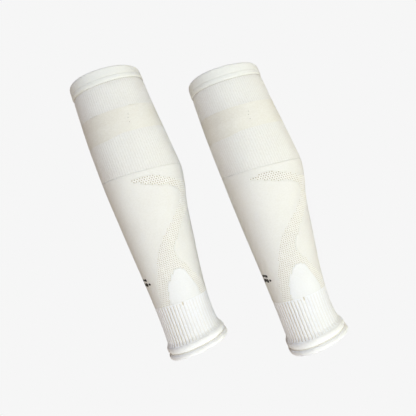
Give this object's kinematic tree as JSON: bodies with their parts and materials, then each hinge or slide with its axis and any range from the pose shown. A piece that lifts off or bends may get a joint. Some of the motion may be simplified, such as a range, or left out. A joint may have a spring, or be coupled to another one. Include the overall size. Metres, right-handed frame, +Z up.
{
  "type": "footless knit calf sleeves",
  "caption": "Footless knit calf sleeves in their worn shape, with a doubled knee welt, ribbed and grip zones, ventilation mesh and a rolled ankle cuff, worn over the lower leg and shin guard.",
  "frame": {"origin": "middle of the pair's footprint, on the surface that the sleeves lie on", "axes": "+Z up, +Y along the sleeves towards their knee ends, +X across them towards the calf sides"},
  "size_m": [0.2534, 0.4238, 0.0952],
  "materials": {
    "knit_cuff": "bright white ribbed knit",
    "knit_welt": "smooth white doubled knit",
    "knit_rib": "fine white rib knit",
    "knit_leg": "plain ivory jersey knit",
    "knit_mesh": "open ivory eyelet knit",
    "knit_grip": "close beige-white knit",
    "seam_thread": "grey sewing thread",
    "thread": "white sewing thread",
    "elastic": "covered elastic yarn",
    "print": "flat dark transfer print"
  },
  "bodies": {
    "left_sleeve": {"left_ankle_hem": "knit_cuff", "left_ankle_cuff": "knit_cuff", "left_ankle_seam_thread": "thread", "left_ankle_elastic": "elastic", "left_ankle_rib": "knit_cuff", "left_vent_mesh": "knit_mesh", "left_shin_panel": "knit_leg", "left_calf_panel": "knit_leg", "left_ankle_arches": "knit_leg", "left_lower_rib": "knit_rib", "left_grip_band": "knit_grip", "left_upper_rib": "knit_rib", "left_knee_welt": "knit_welt", "left_knee_seam_thread": "seam_thread", "left_knee_elastic": "elastic", "left_printed_mark": "print"},
    "right_sleeve": {"right_ankle_hem": "knit_cuff", "right_ankle_cuff": "knit_cuff", "right_ankle_seam_thread": "thread", "right_ankle_elastic": "elastic", "right_ankle_rib": "knit_cuff", "right_vent_mesh": "knit_mesh", "right_shin_panel": "knit_leg", "right_calf_panel": "knit_leg", "right_ankle_arches": "knit_leg", "right_lower_rib": "knit_rib", "right_grip_band": "knit_grip", "right_upper_rib": "knit_rib", "right_knee_welt": "knit_welt", "right_knee_seam_thread": "seam_thread", "right_knee_elastic": "elastic", "right_printed_mark": "print"}
  },
  "joints": [
    {"name": "right_sleeve_lift", "type": "slide", "parent": "left_sleeve", "child": "right_sleeve", "axis": [0, 0, 1], "range_m": [0, 0.15]}
  ]
}
